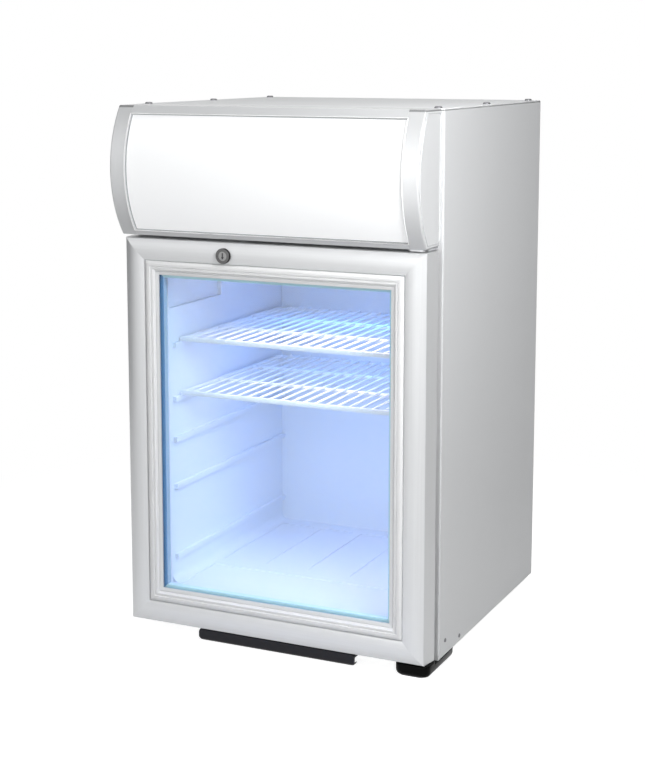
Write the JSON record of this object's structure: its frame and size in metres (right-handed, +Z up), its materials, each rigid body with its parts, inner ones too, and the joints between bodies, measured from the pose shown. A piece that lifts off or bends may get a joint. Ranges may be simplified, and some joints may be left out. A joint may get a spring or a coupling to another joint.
{
  "type": "glass door merchandiser",
  "caption": "Countertop glass-door display cooler with lit curved canopy, lockable hinged door, wire shelves, and a cooling unit behind the canopy.",
  "frame": {"origin": "on the floor under the middle of the overall width and depth", "axes": "+X to the viewer's right, +Y to the back, +Z up; the door faces -Y"},
  "size_m": [0.402, 0.44, 0.6542],
  "materials": {
    "casing_silver": "satin powder coat",
    "frame_silver": "silver lacquered extrusion",
    "trim_silver": "silver lacquered moulding",
    "canopy_white": "translucent white, lit from behind",
    "liner_white": "vacuum-formed white sheet",
    "breaker_white": "white extrusion",
    "foam": "foamed in place",
    "glass": "clear, polished edges",
    "spacer": "satin, perforated",
    "gasket": "soft vinyl",
    "chrome": "polished",
    "black_gloss": "glossy moulding",
    "black_enamel": "gloss enamel",
    "zinc": "bright zinc plate",
    "galvanised": "galvanised sheet",
    "white_wire": "white dipped wire",
    "rubber_black": "moulded rubber",
    "copper": "drawn copper, dull",
    "bare_aluminium": "mill finish",
    "black_plastic": "moulded",
    "white_plastic": "moulded",
    "switch_red": "translucent moulding",
    "led_board": "white board",
    "lamp_lens": "frosted, lit"
  },
  "bodies": {
    "cabinet": {"side_panel_right": "casing_silver", "side_panel_left": "casing_silver", "top_panel": "casing_silver", "canopy_end_cap_right": "trim_silver", "canopy_end_cap_left": "trim_silver", "canopy_top_trim": "trim_silver", "canopy_bottom_trim": "trim_silver", "canopy_panel": "canopy_white", "inner_liner": "liner_white", "front_breaker_strips": "breaker_white", "insulation_foam": "foam", "hinge_bracket_bottom": "black_enamel", "compressor": "black_enamel", "top_panel_screws": "zinc", "casing_screws": "zinc", "hinge_screws": "zinc", "hinge_pins": "zinc", "lock_strike": "zinc", "hinge_bracket_top": "zinc", "compressor_bolts": "zinc", "back_panel": "galvanised", "back_grille": "galvanised", "base_panel": "galvanised", "machine_tray": "galvanised", "canopy_back_plate": "galvanised", "feet": "rubber_black", "wall_spacers": "rubber_black", "compressor_grommets": "rubber_black", "filter_drier": "copper", "refrigerant_tubes": "copper", "evaporator_plate": "bare_aluminium", "condenser_coil": "bare_aluminium", "condenser_shroud": "black_plastic", "fan_motor": "black_plastic", "control_box": "black_plastic", "mains_inlet": "black_plastic", "relay_cover": "black_plastic", "lamp_housing": "white_plastic", "canopy_led_strips": "led_board", "lamp_lens": "lamp_lens"},
    "door": {"door_rail_bottom": "frame_silver", "door_rail_top": "frame_silver", "door_stile_left": "frame_silver", "door_stile_right": "frame_silver", "glass_outer": "glass", "glass_inner": "glass", "glass_spacer": "spacer", "door_gasket": "gasket", "hinge_bushes": "white_plastic", "door_grip": "black_gloss", "grip_screws": "zinc", "lock_housing": "chrome"},
    "lock_barrel": {"lock_plug": "chrome", "lock_cam": "zinc"},
    "lower_shelf": {"shelf_lower": "white_wire"},
    "upper_shelf": {"shelf_upper": "white_wire"},
    "fan_wheel": {"fan_blade": "black_plastic"},
    "dial": {"thermostat_dial": "black_plastic"},
    "rocker": {"light_switch_rocker": "switch_red"}
  },
  "joints": [
    {"name": "door_hinge", "type": "hinge", "parent": "cabinet", "child": "door", "pos_m": [0.183, -0.176, 0.016], "axis": [0, 0, 1], "range_deg": [0, 120]},
    {"name": "lock_turn", "type": "hinge", "parent": "door", "child": "lock_barrel", "pos_m": [-0.059, -0.176, 0.478], "axis": [0, 1, 0], "range_deg": [0, 90]},
    {"name": "lower_shelf_slide", "type": "slide", "parent": "cabinet", "child": "lower_shelf", "axis": [0, -1, 0], "range_m": [-0.012, 0.03]},
    {"name": "upper_shelf_slide", "type": "slide", "parent": "cabinet", "child": "upper_shelf", "axis": [0, -1, 0], "range_m": [-0.012, 0.03]},
    {"name": "fan_spin", "type": "hinge", "parent": "cabinet", "child": "fan_wheel", "pos_m": [-0.092, 0.1395, 0.5632], "axis": [0, 1, 0], "continuous": true},
    {"name": "thermostat_turn", "type": "hinge", "parent": "cabinet", "child": "dial", "pos_m": [0.088, 0.2095, 0.6082], "axis": [0, 1, 0], "range_deg": [0, 300]},
    {"name": "light_switch_rock", "type": "hinge", "parent": "cabinet", "child": "rocker", "pos_m": [0.121, 0.2025, 0.6082], "axis": [1, 0, 0], "range_deg": [0, 16]}
  ]
}
